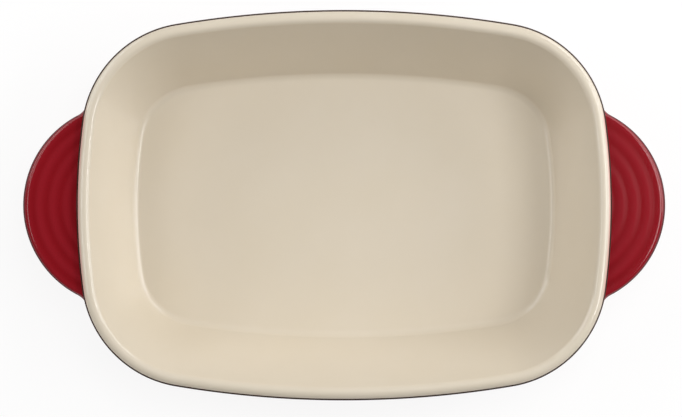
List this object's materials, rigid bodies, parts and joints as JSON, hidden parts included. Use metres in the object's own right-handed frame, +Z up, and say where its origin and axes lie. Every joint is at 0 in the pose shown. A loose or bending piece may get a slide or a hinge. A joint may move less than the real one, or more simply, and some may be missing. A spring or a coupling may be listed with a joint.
{
  "type": "baking dish",
  "caption": "Deep rectangular stoneware baking dish with bowed sides, rounded corners, a rolled lip and a round ringed tab handle at each end, cream inside and red outside.",
  "frame": {"origin": "middle of the dish in plan, on the surface that the foot ring stands on", "axes": "+X along the dish from handle to handle, +Y across it, +Z up out of its mouth"},
  "size_m": [0.4048, 0.245, 0.072],
  "materials": {
    "stoneware": "fired clay, bare and slightly gritty on the foot ring",
    "cream_glaze": "glossy cream glaze",
    "red_glaze": "glossy deep red glaze"
  },
  "bodies": {
    "root": {"stoneware_body": "stoneware", "left_handle": "stoneware", "right_handle": "stoneware", "cream_liner_glaze": "cream_glaze", "red_outer_glaze": "red_glaze", "red_base_glaze": "red_glaze"}
  },
  "joints": []
}
